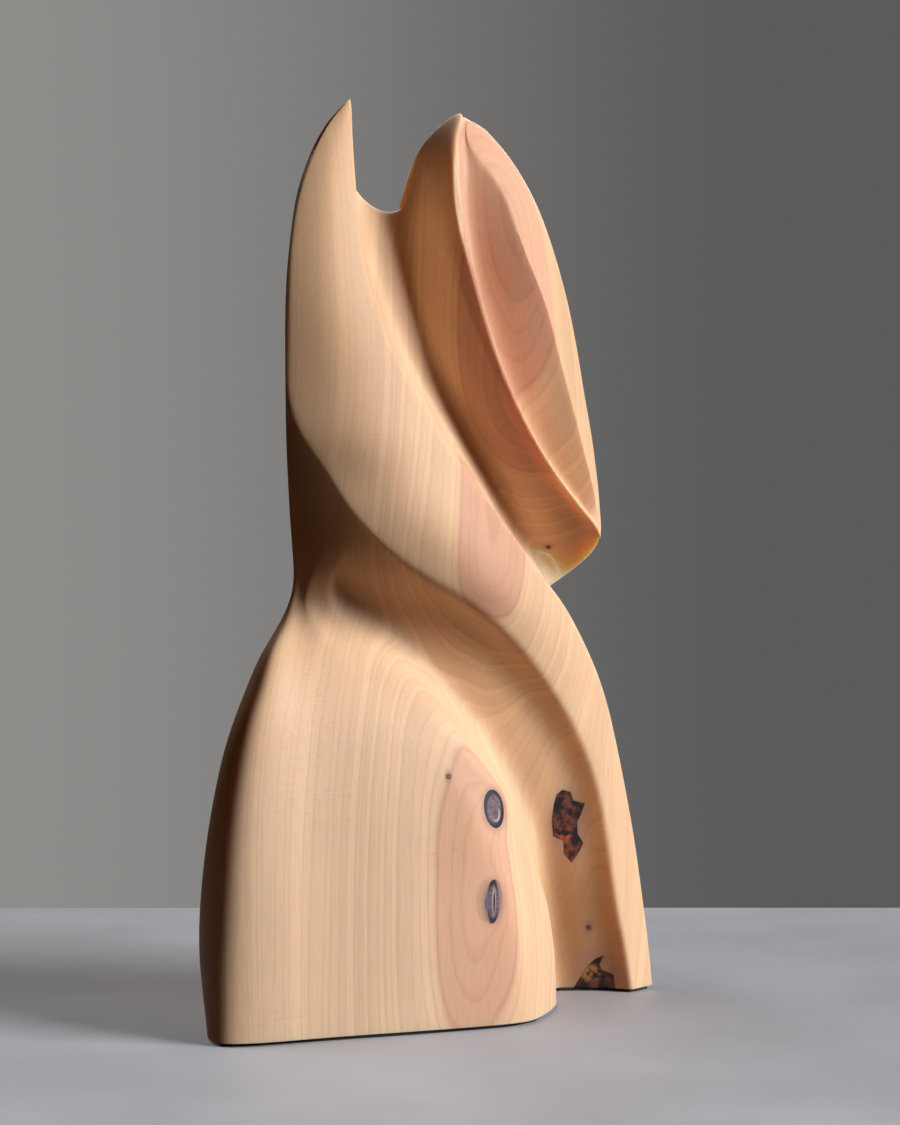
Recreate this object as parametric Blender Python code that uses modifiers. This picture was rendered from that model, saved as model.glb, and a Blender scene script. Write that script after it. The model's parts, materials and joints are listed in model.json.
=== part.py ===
"""A table sculpture carved from one block of pale wood: a horn and a head lobe
over a twisting band that runs down to the right foot, with a wide front foot
beside it. Millimetres in the drawing below, metres in the scene, +Z up, and the
front looks along -Y."""

import math

import bmesh
import bpy
import numpy as np
from mathutils import Matrix, Vector

MM = 0.001

# Overall size of the carving without its pads, in millimetres. The lines below are drawn at
# about this size and then stretched to it.
WIDTH = 211.0
DEPTH = 80.2
HEIGHT = 374.0

BACK_FULLNESS = 0.38  # how far the back bulges: 0 is flat, 1 is a half circle
ROWS_ABOVE = 14  # rows of the cage from the tips to the waist
ROWS_BELOW = 12  # and from the waist to the base
ROWS = ROWS_ABOVE + ROWS_BELOW
FOOT_LINES = 7  # lines of the lower sheet that end under the front foot
GROOVE_LINE = 8  # the line of the groove's floor
SIDE_ROWS = (0, 2, 4, 6, 8, 10, 12)  # rows where the foot's lines run down the left side
CURVE_STEPS = 12
WELD = 0.001
PUSHES = 2
FOOT_CORNER = 0.15  # how far the front foot rounds out beside its inner corner
BAND_CROWN = 0.12
SMOOTHNESS = 1  # subdivision levels of the finished body

# How crisp each edge of the carving is: 0 is round, 1 is cut sharp.
CUT_EDGE = 1.0  # round the base
BAND_EDGE = 0.65  # between the band and the trough
BAND_FAR_EDGE = 0.3  # between the band and the groove
HEAD_EDGE = 0.55  # the two ridges beside the head's hollow
NOTCH_RIM = 0.3
SOFT_EDGE = 0.4  # the front foot's inner edge and the lip under the beak

# Felt pads glued under the feet.
PAD_THICKNESS = 1.4
PAD_INSET = 1.2  # how far a pad keeps inside the foot's edge
PAD_SPLIT = 56.0  # the front foot's pad ends this far to the right, and the other one starts
GLUE_LINE = 0.1

# Knots of the front foot: name, centre x and z, width, height, tilt in degrees.
KNOTS = [
    ("knot_upper", 9.6, 87.0, 10.0, 15.5, 12.0),
    ("knot_lower", 8.2, 50.0, 7.0, 17.5, -4.0),
]
KNOT_DEPTH = 7.0
KNOT_PLANE = -19.0  # the depth in the drawing of the face that the knots show in
# Pin knots: name, a point at the surface, and the way out of the wood.
PIN_KNOTS = [
    ("pin_knot_foot", (-11, -19.5, 101), (-0.1, -1, 0)),
    ("pin_knot_groove", (81, 20, 27), (-0.5, -0.83, -0.2)),
    ("pin_knot_trough", (59, 18, 193), (-0.43, -0.6, -0.69)),
]
PIN_DIAMETER = 2.2
PIN_DEPTH = 4.0
# Pockets of bark and resin in the groove's far wall: name, centre, the way out of the wood,
# and an outline (sideways, upwards) round the centre.
POCKETS = [
    ("bark_fill_wall", (67, 15, 74), (-0.36, -0.9, -0.24),
     [(-3, 15), (0.5, 14), (2, 10), (7, 9), (5.5, 4), (4, 0), (4.5, -5), (7, -9), (5.5, -13),
      (2.5, -18), (-1, -14), (-1.5, -8), (-6, -6), (-7, 1), (-6.5, 8), (-5.5, 13)]),
    ("bark_fill_base", (85, 21, 7), (-0.52, -0.84, -0.16),
     [(-10, -9), (9, -9), (8, -1), (3, 1), (2, 3.5), (4, 7.5), (0.5, 6), (-3, 3), (-6, -2)]),
]
POCKET_DEPTH = 5.0
FILL_GAP = 0.2

# ---------------------------------------------------------------- lines of the carving
# Each line is a few points (x, y, z) that a smooth curve passes through, top to bottom.

WAIST_LEFT = (-55, 33, 175)
SHOULDER = (42, -6, 179)
HORN_TIP = (-38.5, 14, 374)
BEAK = (73, -1, 197)

LEFT_BACK_UPPER = [
    HORN_TIP, (-45.5, 20, 365), (-51, 26, 351), (-54, 30, 338), (-56, 32, 320),
    (-57.5, 33, 298), (-58, 33, 265), (-57.5, 33, 233), (-56, 33, 204), WAIST_LEFT,
]
LEFT_BACK_LOWER = [
    WAIST_LEFT, (-62, 34, 159), (-70, 35, 145.5), (-78, 36, 126), (-83.5, 37, 109.5),
    (-88, 38, 88), (-91, 39, 67), (-92.5, 40, 45), (-92.5, 40, 31), (-91, 38, 15), (-88.5, 36, 0),
]
BAND_LEFT_UPPER = [
    HORN_TIP, (-48, 13, 363), (-57, 11, 347), (-63.5, 9, 330), (-67.5, 7, 311),
    (-69.5, 5, 290), (-70, 4, 262), (-69, 3.5, 247), (-66, 1.5, 237), (-57.5, -1, 225),
    (-50, -4.5, 211.5), (-44, -7, 203), (-33, -9, 192), (-18, -10, 180.5), (-10.5, -10, 176.5),
]
BAND_LEFT_LOWER = [
    (-10.5, -10, 176.5), (9.5, -8, 166), (30, -5, 151), (50.5, -1, 129.5), (65.5, 2, 108),
    (76, 5, 86), (82, 7, 64), (87, 9, 41), (93, 10.5, 19), (97, 11.5, 0),
]
BAND_RIGHT_UPPER = [
    HORN_TIP, (-40, 8, 352), (-41, 3, 331), (-41, -1, 313), (-38.5, -5, 293),
    (-32.5, -9, 273), (-21.5, -12, 253), (-6, -14, 228), (11, -13, 210), (27, -10, 194),
    SHOULDER,
]
BAND_RIGHT_LOWER = [
    SHOULDER, (55, -3, 166), (66.5, 0, 150), (77, 3, 132), (86.5, 6, 106), (97, 10, 71),
    (104.5, 13, 39), (109, 14.5, 15), (111, 15, 0),
]
# The trough from the notch to its way out behind the shoulder: its left wall, its floor
# and its right wall. The last point of each is on the lip below the beak.
TROUGH_LEFT = [
    (-31, 30, 346), (-33, 23, 335), (-33, 17, 320), (-28, 12, 300), (-22, 6, 276),
    (-12, 1, 255), (1, -1, 235), (17, 0, 212), (34, 5, 193), (47, 9, 182), (53, 10, 176),
]
TROUGH_FLOOR = [
    (-14, 34, 334), (-13, 25, 321), (-10, 18, 299), (-5, 14, 276), (4, 13, 257),
    (16, 13, 238), (31, 15, 217), (47, 20, 197), (58, 22, 186), (63, 22, 176.5),
]
TROUGH_RISE = [
    (-2.5, 34, 337), (-4.5, 25, 323), (-5.5, 16, 302), (-1, 8, 279), (8, 5, 258), (20, 5, 238),
    (34, 7, 220), (50, 11, 203), (62, 16, 192), (70, 22, 180.5),
]
TROUGH_RIGHT = [
    (2.5, 34, 348), (-1, 24, 336), (-3, 14, 320), (-1.5, 4, 302), (4, -3, 281), (12, -7, 262),
    (23, -7, 243), (37, -4, 225), (53, 1, 209), (66, 8, 197), (73.5, 15, 186),
]
HEAD_LEFT = [
    (5.5, 31, 364), (1, 20, 352), (-2, 10, 337), (-2.5, 1, 318), (1.5, -6, 298),
    (9, -11, 274), (19, -12.5, 252), (32, -11, 233), (47, -7, 218), (58, -3, 209),
    (68, 2, 200), (74, 5, 192),
]
HEAD_RIDGE = [
    (17, 24, 375.5), (9.5, 14, 366), (4.5, 6, 356), (1, 0, 342.5), (0, -4, 330), (1, -8, 317),
    (6, -12, 293), (13, -14.5, 269), (24.5, -15.5, 245), (38, -13.5, 227), (53, -9.5, 213),
    (69, -3, 201.5), BEAK,
]
HOLLOW_LEFT = [
    (18.5, 23.5, 375.3), (12.5, 13, 364.5), (7, 4.5, 352), (3.5, -2, 338), (3.5, -6, 323.5),
    (4.3, -9, 312), (7.5, -12, 293), (14.3, -14.5, 269), (25.8, -15.5, 245), (39.3, -13.5, 227),
    (54.3, -9.5, 213), (69.8, -3, 202), BEAK,
]
HOLLOW_FLOOR = [
    (20, 23.4, 375), (14.5, 14, 364.5), (12, 9.5, 352), (11, 9, 338), (13.5, 9.5, 318),
    (18.5, 10, 294), (26, 9, 270), (35.5, 6.5, 247), (47.5, 4, 229), (59, 1.5, 215),
    (70.3, -2, 202.5), BEAK,
]
HOLLOW_EDGE = [
    (22, 23.2, 374.3), (16.5, 14, 365), (18, 10, 359), (21.5, 7, 352), (25, 4, 345),
    (28, 1, 337), (31.5, -1, 325), (36.5, -3, 310), (44, -3.5, 294), (50, -4, 273.5),
    (56.5, -4, 253), (64, -3.5, 230), (70.5, -2, 211), (72.3, -1, 203), BEAK,
]
HEAD_RIGHT = [
    (28, 22, 370.5), (39.5, 20, 360.5), (47, 17, 347.5), (53, 15, 334.5), (58.5, 13, 318.5),
    (64, 12, 299.5), (68.5, 10, 275), (71.5, 8, 252), (73.5, 7, 240), (74.5, 4, 220),
    (73.7, 0, 203), BEAK,
]
# The front foot, its outer corner and the groove beside it, from the waist down.
CORNER_LOWER = [
    (-55, 30, 171), (-60, 26, 163), (-69, 20, 155), (-76, 13, 147), (-83, 8, 134),
    (-88.5, 6, 123), (-92, 5, 110), (-95, 4, 95), (-97, 3.5, 81), (-98.5, 3, 65),
    (-99.5, 3.5, 48), (-100, 4.5, 31), (-100, 5.5, 12), (-100, 6, 0),
]
FOOT_FRONT_LOWER = [
    (-52, 26, 171), (-50.5, 19, 160), (-47.5, 11, 150), (-42, 2, 138), (-34, -7, 124),
    (-19, -15.5, 103), (-8, -19, 83), (2, -19.5, 58), (10, -20, 28), (14, -20, 0),
]
SKIRT_EDGE_LOWER = [
    (-44, 22, 172), (-37.5, 18, 160), (-28.5, 10.5, 149), (-18, 0.5, 138), (-8, -9, 125),
    (2, -15, 110), (14, -16.5, 95), (24, -14, 80), (33, -11, 63), (41.5, -7, 46),
    (48.5, -3, 24), (52.5, 1.5, 0),
]
GROOVE_FLOOR_LOWER = [
    (-38, 22, 178), (-27, 20, 169), (-11, 17, 155), (5, 16, 138), (19, 15.5, 121),
    (34, 16, 102), (48, 19, 80), (60, 23, 52), (67, 28, 24), (71, 30, 0),
]


def curve_through(points, joint, pieces, pieces_after=0):
    """Points along a smooth curve through the given ones: evenly spaced up to the joint, which is
    the index of a given point, and evenly spaced after it."""
    points = [Vector(p) for p in points]
    ends = [2 * points[0] - points[1], *points, 2 * points[-1] - points[-2]]
    fine = []
    for a, b, c, d in zip(ends, ends[1:], ends[2:], ends[3:]):
        for step in range(CURVE_STEPS):
            t = step / CURVE_STEPS
            fine.append(0.5 * (2 * b + (c - a) * t + (2 * a - 5 * b + 4 * c - d) * t * t
                               + (3 * b - a - 3 * c + d) * t ** 3))
    fine.append(points[-1])
    run = np.concatenate([[0], np.cumsum([(q - p).length for p, q in zip(fine, fine[1:])])])
    waist = run[joint * CURVE_STEPS]
    where = np.linspace(0, waist, pieces + 1)
    if pieces_after:
        where = np.concatenate([where, np.linspace(waist, run[-1], pieces_after + 1)[1:]])
    axes = [np.interp(where, run, [p[axis] for p in fine]) for axis in range(3)]
    return [Vector(p) for p in zip(*axes)]


def whole_line(upper, lower):
    """A line of the cage from the horn's tip to the base."""
    return curve_through(upper[:-1] + lower, len(upper) - 1, ROWS_ABOVE, ROWS_BELOW)


def head_line(points):
    """A line of the trough or the head: from the rim above to the rim below, and then the lip."""
    return curve_through(points[:-1], len(points) - 2, ROWS_ABOVE - 1) + [Vector(points[-1])]


def between(first, second, share, lift=0.0, fade=None):
    """A line between two others. lift moves it to the front by a share of their distance, and
    fade weakens that row by row."""
    fade = fade or [1.0] * len(first)
    return [a.lerp(b, share) - Vector((0, lift * f * (b - a).length, 0))
            for a, b, f in zip(first, second, fade)]


def fading(first_row, last_row):
    """0 down to first_row, 1 from last_row on, with a smooth step between them."""
    steps = [min(max((row - first_row) / (last_row - first_row), 0), 1) for row in range(ROWS + 1)]
    return [s * s * (3 - 2 * s) for s in steps]


def front_lines():
    """The lines of the front, from left to right: the lower sheet's from the horn's tip to the
    base, and the upper sheet's from the notch to the way out under the beak."""
    left = whole_line(LEFT_BACK_UPPER, LEFT_BACK_LOWER)
    band_left = whole_line(BAND_LEFT_UPPER, BAND_LEFT_LOWER)
    band_right = whole_line(BAND_RIGHT_UPPER, BAND_RIGHT_LOWER)

    def from_the_side(share, lower):
        """Down the left side above the waist, then along a line of its own."""
        side = between(left, band_left, share)
        return whole_line([side[row] for row in SIDE_ROWS] + [Vector(lower[0])], lower)

    corner = from_the_side(0.14, CORNER_LOWER)
    edge = from_the_side(0.56, SKIRT_EDGE_LOWER)
    front = from_the_side(0.42, FOOT_FRONT_LOWER)
    floor = from_the_side(0.74, GROOVE_FLOOR_LOWER)
    groove = fading(ROWS_ABOVE - 6, ROWS_ABOVE + 2)
    foot = fading(ROWS_ABOVE, ROWS)
    crown = [1 - 0.6 * f for f in fading(ROWS_ABOVE - 2, ROWS_ABOVE + 4)]
    lower_sheet = [
        left,
        corner,
        between(corner, front, 0.33, 0.015, foot),
        between(corner, front, 0.67, 0.015, foot),
        front,
        between(front, edge, 0.45, FOOT_CORNER, foot),
        edge,
        between(edge, floor, 0.5, -0.1, groove),
        floor,
        between(floor, band_left, 0.4, -0.07, groove),
        between(floor, band_left, 0.78, -0.11, groove),
        band_left,
        between(band_left, band_right, 0.33, BAND_CROWN, crown),
        between(band_left, band_right, 0.67, 0.85 * BAND_CROWN, crown),
        band_right,
    ]
    hollow_floor = head_line(HOLLOW_FLOOR)
    hollow_edge = head_line(HOLLOW_EDGE)
    head_right = head_line(HEAD_RIGHT)
    upper_sheet = [
        band_right[:ROWS_ABOVE + 1],
        *[head_line(points) for points in (TROUGH_LEFT, TROUGH_FLOOR, TROUGH_RISE, TROUGH_RIGHT,
                                           HEAD_LEFT, HEAD_RIDGE, HOLLOW_LEFT)],
        hollow_floor,
        between(hollow_floor, hollow_edge, 0.5, -0.04),
        hollow_edge,
        between(hollow_edge, head_right, 0.5, 0.08),
        head_right,
    ]
    return lower_sheet, upper_sheet


def add_patch(bm, lines):
    """A grid whose columns lie on the lines."""
    rows = len(lines[0])
    made = bmesh.ops.create_grid(bm, x_segments=rows - 1, y_segments=len(lines) - 1, size=1)
    for vert, point in zip(made["verts"], (p for column in lines for p in column)):
        vert.co = point


def welded(*patches):
    """One sheet made of patches that share edges."""
    bm = bmesh.new()
    for lines in patches:
        add_patch(bm, lines)
    bmesh.ops.remove_doubles(bm, verts=bm.verts, dist=WELD)
    bmesh.ops.dissolve_degenerate(bm, dist=WELD, edges=bm.edges)
    return bm


def back_sheet(lower_sheet, upper_sheet):
    """The back: the same rims as the front, spread evenly and blown out like a membrane."""
    left, right = lower_sheet[0], lower_sheet[-1]
    count = len(lower_sheet) - 1
    bm = welded([between(left, right, i / count) for i in range(count + 1)], upper_sheet)
    verts = list(bm.verts)
    pull = np.zeros((len(verts), len(verts)))
    area = np.zeros(len(verts))
    for face in bm.faces:
        corners = [vert.index for vert in face.verts]
        for second, third in zip(corners[1:], corners[2:]):
            add_triangle(pull, area, verts, (corners[0], second, third))
    on_base = np.array([abs(v.co.z) < WELD and not any(
        e.is_boundary and abs(e.other_vert(v).co.z) > WELD for e in v.link_edges) for v in verts])
    held = np.array([v.is_boundary for v in verts]) & ~on_base
    free = ~held
    depth = np.array([v.co.y for v in verts])
    inside = pull[np.ix_(free, free)]
    depth[free] = np.linalg.solve(inside, -pull[np.ix_(free, held)] @ depth[held])
    depth[free] += BACK_FULLNESS * np.sqrt(np.maximum(2 * np.linalg.solve(inside, area[free]), 0))
    for vert, y in zip(verts, depth):
        vert.co.y = y
    return bm


def add_triangle(pull, area, verts, corners):
    """Adds a triangle's share of a membrane's stiffness, seen from the front."""
    flat = [Vector((verts[i].co.x, verts[i].co.z)) for i in corners]
    double_area = abs((flat[1] - flat[0]).cross(flat[2] - flat[0]))
    if double_area < WELD:
        return
    for k in range(3):
        i, j = corners[k - 2], corners[k - 1]
        a, b = flat[k - 2] - flat[k], flat[k - 1] - flat[k]
        weight = 0.5 * a.dot(b) / double_area
        pull[i, i] += weight
        pull[j, j] += weight
        pull[i, j] -= weight
        pull[j, i] -= weight
        area[corners[k]] += double_area / 6


def crease(bm, line, weights):
    """Sharpens the edges along a line of the cage; weights is one number or one for each row."""
    layer = bm.edges.layers.float.get("crease_edge") or bm.edges.layers.float.new("crease_edge")
    at = {tuple(round(c, 3) for c in v.co): v for v in bm.verts}
    found = [at.get(tuple(round(c, 3) for c in p)) for p in line]
    for row, (a, b) in enumerate(zip(found, found[1:])):
        edge = a and b and a is not b and bm.edges.get((a, b))
        if edge:
            edge[layer] = weights[row] if isinstance(weights, list) else weights


def carving_cage():
    """The whole cage in millimetres, as one closed mesh with its sharp lines marked, the box of
    the points that it passes through, and the edges of its base."""
    lower_sheet, upper_sheet = front_lines()
    bm = back_sheet(lower_sheet, upper_sheet)
    back_base = sorted((v.co.copy() for v in bm.verts if v.is_boundary and abs(v.co.z) < WELD),
                       key=lambda p: p.x)
    for lines in (lower_sheet, upper_sheet):
        add_patch(bm, lines)
    front_base = [column[-1] for column in lower_sheet]
    add_patch(bm, [[f, f.lerp(b, 0.5), b] for f, b in zip(front_base, back_base)])
    bmesh.ops.remove_doubles(bm, verts=bm.verts, dist=WELD)
    bmesh.ops.dissolve_degenerate(bm, dist=WELD, edges=bm.edges)
    bmesh.ops.recalc_face_normals(bm, faces=bm.faces)
    from_the_tip = fading(0, 3)
    along_the_foot = [a - b for a, b in zip(fading(ROWS_ABOVE + 1, ROWS_ABOVE + 6),
                                            fading(ROWS - 4, ROWS))]
    crease(bm, lower_sheet[-1], BAND_EDGE)
    crease(bm, lower_sheet[11], BAND_FAR_EDGE)
    crease(bm, lower_sheet[6], [SOFT_EDGE * f for f in along_the_foot])
    for line in (6, 7, 10):
        crease(bm, upper_sheet[line], [HEAD_EDGE * f for f in from_the_tip])
    crease(bm, [column[0] for column in upper_sheet[:6]], NOTCH_RIM)
    crease(bm, [column[-2] for column in upper_sheet[2:]], SOFT_EDGE)
    crease(bm, [column[-1] for column in upper_sheet], SOFT_EDGE)
    crease(bm, front_base, CUT_EDGE)
    crease(bm, back_base, CUT_EDGE)
    low, high = (Vector([pick(v.co[axis] for v in bm.verts) for axis in range(3)])
                 for pick in (min, max))
    push_out(bm)
    return bm, low, high, front_base, back_base


def push_out(bm):
    """Moves the cage until the smooth surface passes through the points that were drawn."""
    drawn = [v.co.copy() for v in bm.verts]
    for _ in range(PUSHES):
        mesh = bpy.data.meshes.new("trial")
        bm.to_mesh(mesh)
        trial = bpy.data.objects.new("trial", mesh)
        bpy.context.scene.collection.objects.link(trial)
        trial.modifiers.new("smooth", "SUBSURF").levels = 3
        smooth = trial.evaluated_get(bpy.context.evaluated_depsgraph_get()).to_mesh()
        reached = [v.co.copy() for v in smooth.vertices[:len(drawn)]]
        bpy.data.objects.remove(trial, do_unlink=True)
        for vert, aim, now in zip(bm.verts, drawn, reached):
            vert.co += aim - now


def smooth_object(name, bm, collection):
    """An object with a live Subdivision Surface on the cage, in metres."""
    bmesh.ops.transform(bm, verts=bm.verts, matrix=TO_SCENE)
    mesh = bpy.data.meshes.new(name)
    bm.to_mesh(mesh)
    bm.free()
    obj = bpy.data.objects.new(name, mesh)
    collection.objects.link(obj)
    smooth = obj.modifiers.new("smooth", "SUBSURF")
    smooth.levels = smooth.render_levels = SMOOTHNESS
    return obj


def widened(outline, gap):
    """An outline moved out by gap, or in if gap is negative. It runs clockwise or the other way."""
    points = [Vector(p) for p in outline]
    turn = sum(a.cross(b) for a, b in zip(points, points[1:] + points[:1]))
    moved = []
    for before, here, after in zip(points[-1:] + points, points, points[1:] + points[:1]):
        first = (here - before).normalized()
        second = (after - here).normalized()
        corner = (first + second).normalized()
        out = Vector((corner.y, -corner.x)) * (1 if turn > 0 else -1)
        moved.append(here + out * gap / max(corner.dot(first), 0.5))
    return moved


def prism(name, outline, frame, thickness, collection):
    """A flat outline given thickness, made a mesh, with the middle of its thickness at the frame."""
    curve = bpy.data.curves.new(name, "CURVE")
    curve.dimensions = "2D"
    curve.fill_mode = "BOTH"
    curve.extrude = thickness * MM / 2
    spline = curve.splines.new("POLY")
    spline.points.add(len(outline) - 1)
    for point, (u, v) in zip(spline.points, outline):
        point.co = (u * MM, v * MM, 0, 1)
    spline.use_cyclic_u = True
    drawn = bpy.data.objects.new(name + "_outline", curve)
    scene.collection.objects.link(drawn)
    bpy.context.view_layer.update()
    mesh = bpy.data.meshes.new_from_object(drawn.evaluated_get(bpy.context.evaluated_depsgraph_get()))
    bpy.data.objects.remove(drawn, do_unlink=True)
    bm = bmesh.new()
    bm.from_mesh(mesh)
    bmesh.ops.remove_doubles(bm, verts=bm.verts, dist=WELD * MM)
    bmesh.ops.transform(bm, verts=bm.verts, matrix=frame)
    bmesh.ops.recalc_face_normals(bm, faces=bm.faces)
    bm.to_mesh(mesh)
    bm.free()
    obj = bpy.data.objects.new(name, mesh)
    collection.objects.link(obj)
    return obj


def facing(point, way_out, tilt=0.0):
    """A frame at a drawn point on the carving: its Z is the way out of the wood, its Y is up."""
    out = Vector(way_out).normalized()
    side = Vector((0, 0, 1)).cross(out).normalized()
    up = out.cross(side)
    turn = Matrix((side, up, out)).transposed().to_4x4()
    return Matrix.Translation(TO_SCENE @ Vector(point)) @ turn @ Matrix.Rotation(
        math.radians(tilt), 4, "Z")


def boolean(obj, other, operation):
    cut = obj.modifiers.new(operation.lower() + "_" + other.name, "BOOLEAN")
    cut.operation = operation
    cut.solver = "MANIFOLD"
    cut.object = other


def set_in(name, outline, frame, depth, material):
    """Cuts a pocket in the body and sets a fill in it that is flush with the carved surface."""
    shape = prism(name + "_shape", outline, frame, 2 * depth, cutters)
    pocket = prism(name + "_pocket", widened(outline, FILL_GAP), frame,
                   2 * (depth + FILL_GAP), cutters)
    fill = bpy.data.objects.new(name, body.data.copy())
    sculpture.objects.link(fill)
    smooth = fill.modifiers.new("smooth", "SUBSURF")
    smooth.levels = smooth.render_levels = SMOOTHNESS
    boolean(fill, shape, "INTERSECT")
    boolean(body, pocket, "DIFFERENCE")
    fill.data.materials.clear()
    fill.data.materials.append(material)


def ellipse(width, height, points=24):
    return [(width / 2 * math.cos(a), height / 2 * math.sin(a))
            for a in (2 * math.pi * k / points for k in range(points))]


def finish(name, colour, roughness):
    material = bpy.data.materials.new(name)
    material.use_nodes = True
    shader = material.node_tree.nodes["Principled BSDF"]
    shader.inputs["Base Color"].default_value = (*colour, 1)
    shader.inputs["Roughness"].default_value = roughness
    return material


def pad(name, outline):
    """A felt pad whose outline keeps inside the foot above it."""
    frame = Matrix.Translation((0, 0, PAD_THICKNESS * MM / 2))
    obj = prism(name, widened(outline, -PAD_INSET), frame, PAD_THICKNESS, sculpture)
    obj.data.materials.append(felt)
    return obj


for old in list(bpy.data.objects):
    bpy.data.objects.remove(old, do_unlink=True)
scene = bpy.context.scene
sculpture = bpy.data.collections.new("sculpture")
cutters = bpy.data.collections.new("cutters")
cutters.hide_render = True
scene.collection.children.link(sculpture)
scene.collection.children.link(cutters)

wood = finish("oiled_pale_wood", (0.62, 0.40, 0.22), 0.42)
knot_wood = finish("knot_wood", (0.10, 0.07, 0.08), 0.35)
bark = finish("bark_and_resin", (0.06, 0.02, 0.012), 0.25)
felt = finish("dark_felt", (0.03, 0.028, 0.026), 0.95)

cage, low, high, front_base, back_base = carving_cage()
# The drawing is stretched to its size, and its box stands centred over the origin on the pads.
TO_SCENE = (
    Matrix.Scale(MM, 4)
    @ Matrix.Translation((0, 0, PAD_THICKNESS + GLUE_LINE))
    @ Matrix.Diagonal((WIDTH / (high.x - low.x), DEPTH / (high.y - low.y),
                       HEIGHT / (high.z - low.z), 1))
    @ Matrix.Translation((-(low.x + high.x) / 2, -(low.y + high.y) / 2, -low.z))
)

body = smooth_object("carved_body", cage, sculpture)
body.data.materials.append(wood)
for name, point, way_out in PIN_KNOTS:
    set_in(name, ellipse(PIN_DIAMETER, PIN_DIAMETER), facing(point, way_out), PIN_DEPTH, knot_wood)
for name, x, z, width, height, tilt in KNOTS:
    set_in(name, ellipse(width, height), facing((x, KNOT_PLANE, z), (0, -1, 0), tilt),
           KNOT_DEPTH, knot_wood)
for name, centre, way_out, outline in POCKETS:
    set_in(name, outline, facing(centre, way_out), POCKET_DEPTH, bark)

front_edge, back_edge = ([(TO_SCENE @ p).xy / MM for p in edge] for edge in (front_base, back_base))
split = (TO_SCENE @ Vector((PAD_SPLIT, 0, 0))).x / MM
front_foot = front_edge[:FOOT_LINES] + [p for p in reversed(back_edge[1:-1]) if p.x < split]
right_foot = front_edge[GROOVE_LINE:] + [p for p in reversed(back_edge[1:-1]) if p.x > split]
pad("felt_front_foot", front_foot)
pad("felt_right_foot", right_foot)
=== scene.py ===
# %% [markdown]
# # A carved wood sculpture
# This lesson rebuilds a small free-form carving: a horn, a head lobe with a hollow, a band
# that twists down to one foot, and a wide front foot beside it. Everything is one block of
# pale wood, apart from two branch knots, three pin knots, two pockets of bark and the felt.
#
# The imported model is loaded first. It holds the sizes, and each new piece takes the place of
# one of its nodes, in the same frame and in metres.

import json
import math

import bpy
import numpy as np
from mathutils import Matrix, Vector

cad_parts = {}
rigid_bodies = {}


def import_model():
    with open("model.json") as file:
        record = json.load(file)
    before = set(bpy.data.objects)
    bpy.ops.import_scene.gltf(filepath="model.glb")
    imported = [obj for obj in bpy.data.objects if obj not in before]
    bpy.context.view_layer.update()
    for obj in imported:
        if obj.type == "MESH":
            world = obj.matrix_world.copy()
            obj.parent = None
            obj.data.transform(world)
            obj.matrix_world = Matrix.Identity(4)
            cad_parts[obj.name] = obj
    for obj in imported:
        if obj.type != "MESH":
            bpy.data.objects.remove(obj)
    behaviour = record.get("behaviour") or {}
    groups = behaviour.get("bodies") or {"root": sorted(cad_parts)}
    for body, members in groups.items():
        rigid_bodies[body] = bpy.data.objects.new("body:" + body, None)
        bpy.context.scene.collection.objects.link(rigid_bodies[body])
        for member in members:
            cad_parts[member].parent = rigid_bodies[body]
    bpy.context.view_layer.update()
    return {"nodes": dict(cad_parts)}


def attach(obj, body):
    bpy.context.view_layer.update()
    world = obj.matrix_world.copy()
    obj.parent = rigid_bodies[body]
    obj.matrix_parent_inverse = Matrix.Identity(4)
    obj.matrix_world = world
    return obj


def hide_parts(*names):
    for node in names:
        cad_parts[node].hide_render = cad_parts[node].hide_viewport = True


for leftover in list(bpy.data.objects):
    bpy.data.objects.remove(leftover, do_unlink=True)
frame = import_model()
print("nodes of the frame:", sorted(frame["nodes"]))

# %% [markdown]
# ## Camera
# The camera stands low, level with the middle of the carving, and looks at it from a little
# to the left. A long lens keeps the upright lines straight.

# %% Camera
MM = 0.001
VIEW_TURN = math.radians(30)  # how far the camera stands round to the left
AHEAD = Vector((math.sin(VIEW_TURN), math.cos(VIEW_TURN), 0))
ACROSS = Vector((math.cos(VIEW_TURN), -math.sin(VIEW_TURN), 0))
CAMERA_PLACE = Vector((-0.4305, -0.7562, 0.187))

lens = bpy.data.cameras.new("camera")
lens.sensor_fit = "VERTICAL"
lens.sensor_height = 36
lens.lens = 66.9
camera = bpy.data.objects.new("camera", lens)
camera.location = CAMERA_PLACE
camera.rotation_euler = (math.radians(90), 0, -VIEW_TURN)
bpy.context.scene.collection.objects.link(camera)
bpy.context.scene.camera = camera
bpy.context.scene.view_settings.view_transform = "Standard"
print("camera", [round(c, 3) for c in camera.location])

# %% [markdown]
# ## Table and light
# A pale stone-like table top ends a hand's length behind the carving. The main light is large
# and soft, a little above the carving and well to the right, so it draws the ridges and leaves
# the hollows dark. A weak light for the table alone softens the shadow on it, and one from
# behind, which passes the table by, shows the carving's back.

# %% Table top
TABLE_BACK = 0.262  # how far the table goes on behind the carving, along the view
TABLE_SIZE = 2.4
TABLE_THICKNESS = 0.04
for thing in bpy.context.selected_objects:
    thing.select_set(False)
bpy.ops.mesh.primitive_cube_add(size=1, location=(0, 0, -TABLE_THICKNESS / 2))
table = bpy.context.object
table.name = "table_top"
table.scale = (TABLE_SIZE * 2, TABLE_SIZE, TABLE_THICKNESS)
table.rotation_euler = (0, 0, -VIEW_TURN)
table.location = AHEAD * (TABLE_BACK - TABLE_SIZE / 2) + Vector((0, 0, -TABLE_THICKNESS / 2))
bpy.ops.object.transform_apply(location=True, rotation=True, scale=True)
table.visible_diffuse = False  # it sends no light back up into the groove
print("table top", [round(d, 2) for d in table.dimensions])

# %% Lights
LIGHT_AIM = Vector((0, 0, 0.19))  # the middle of the carving


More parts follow.
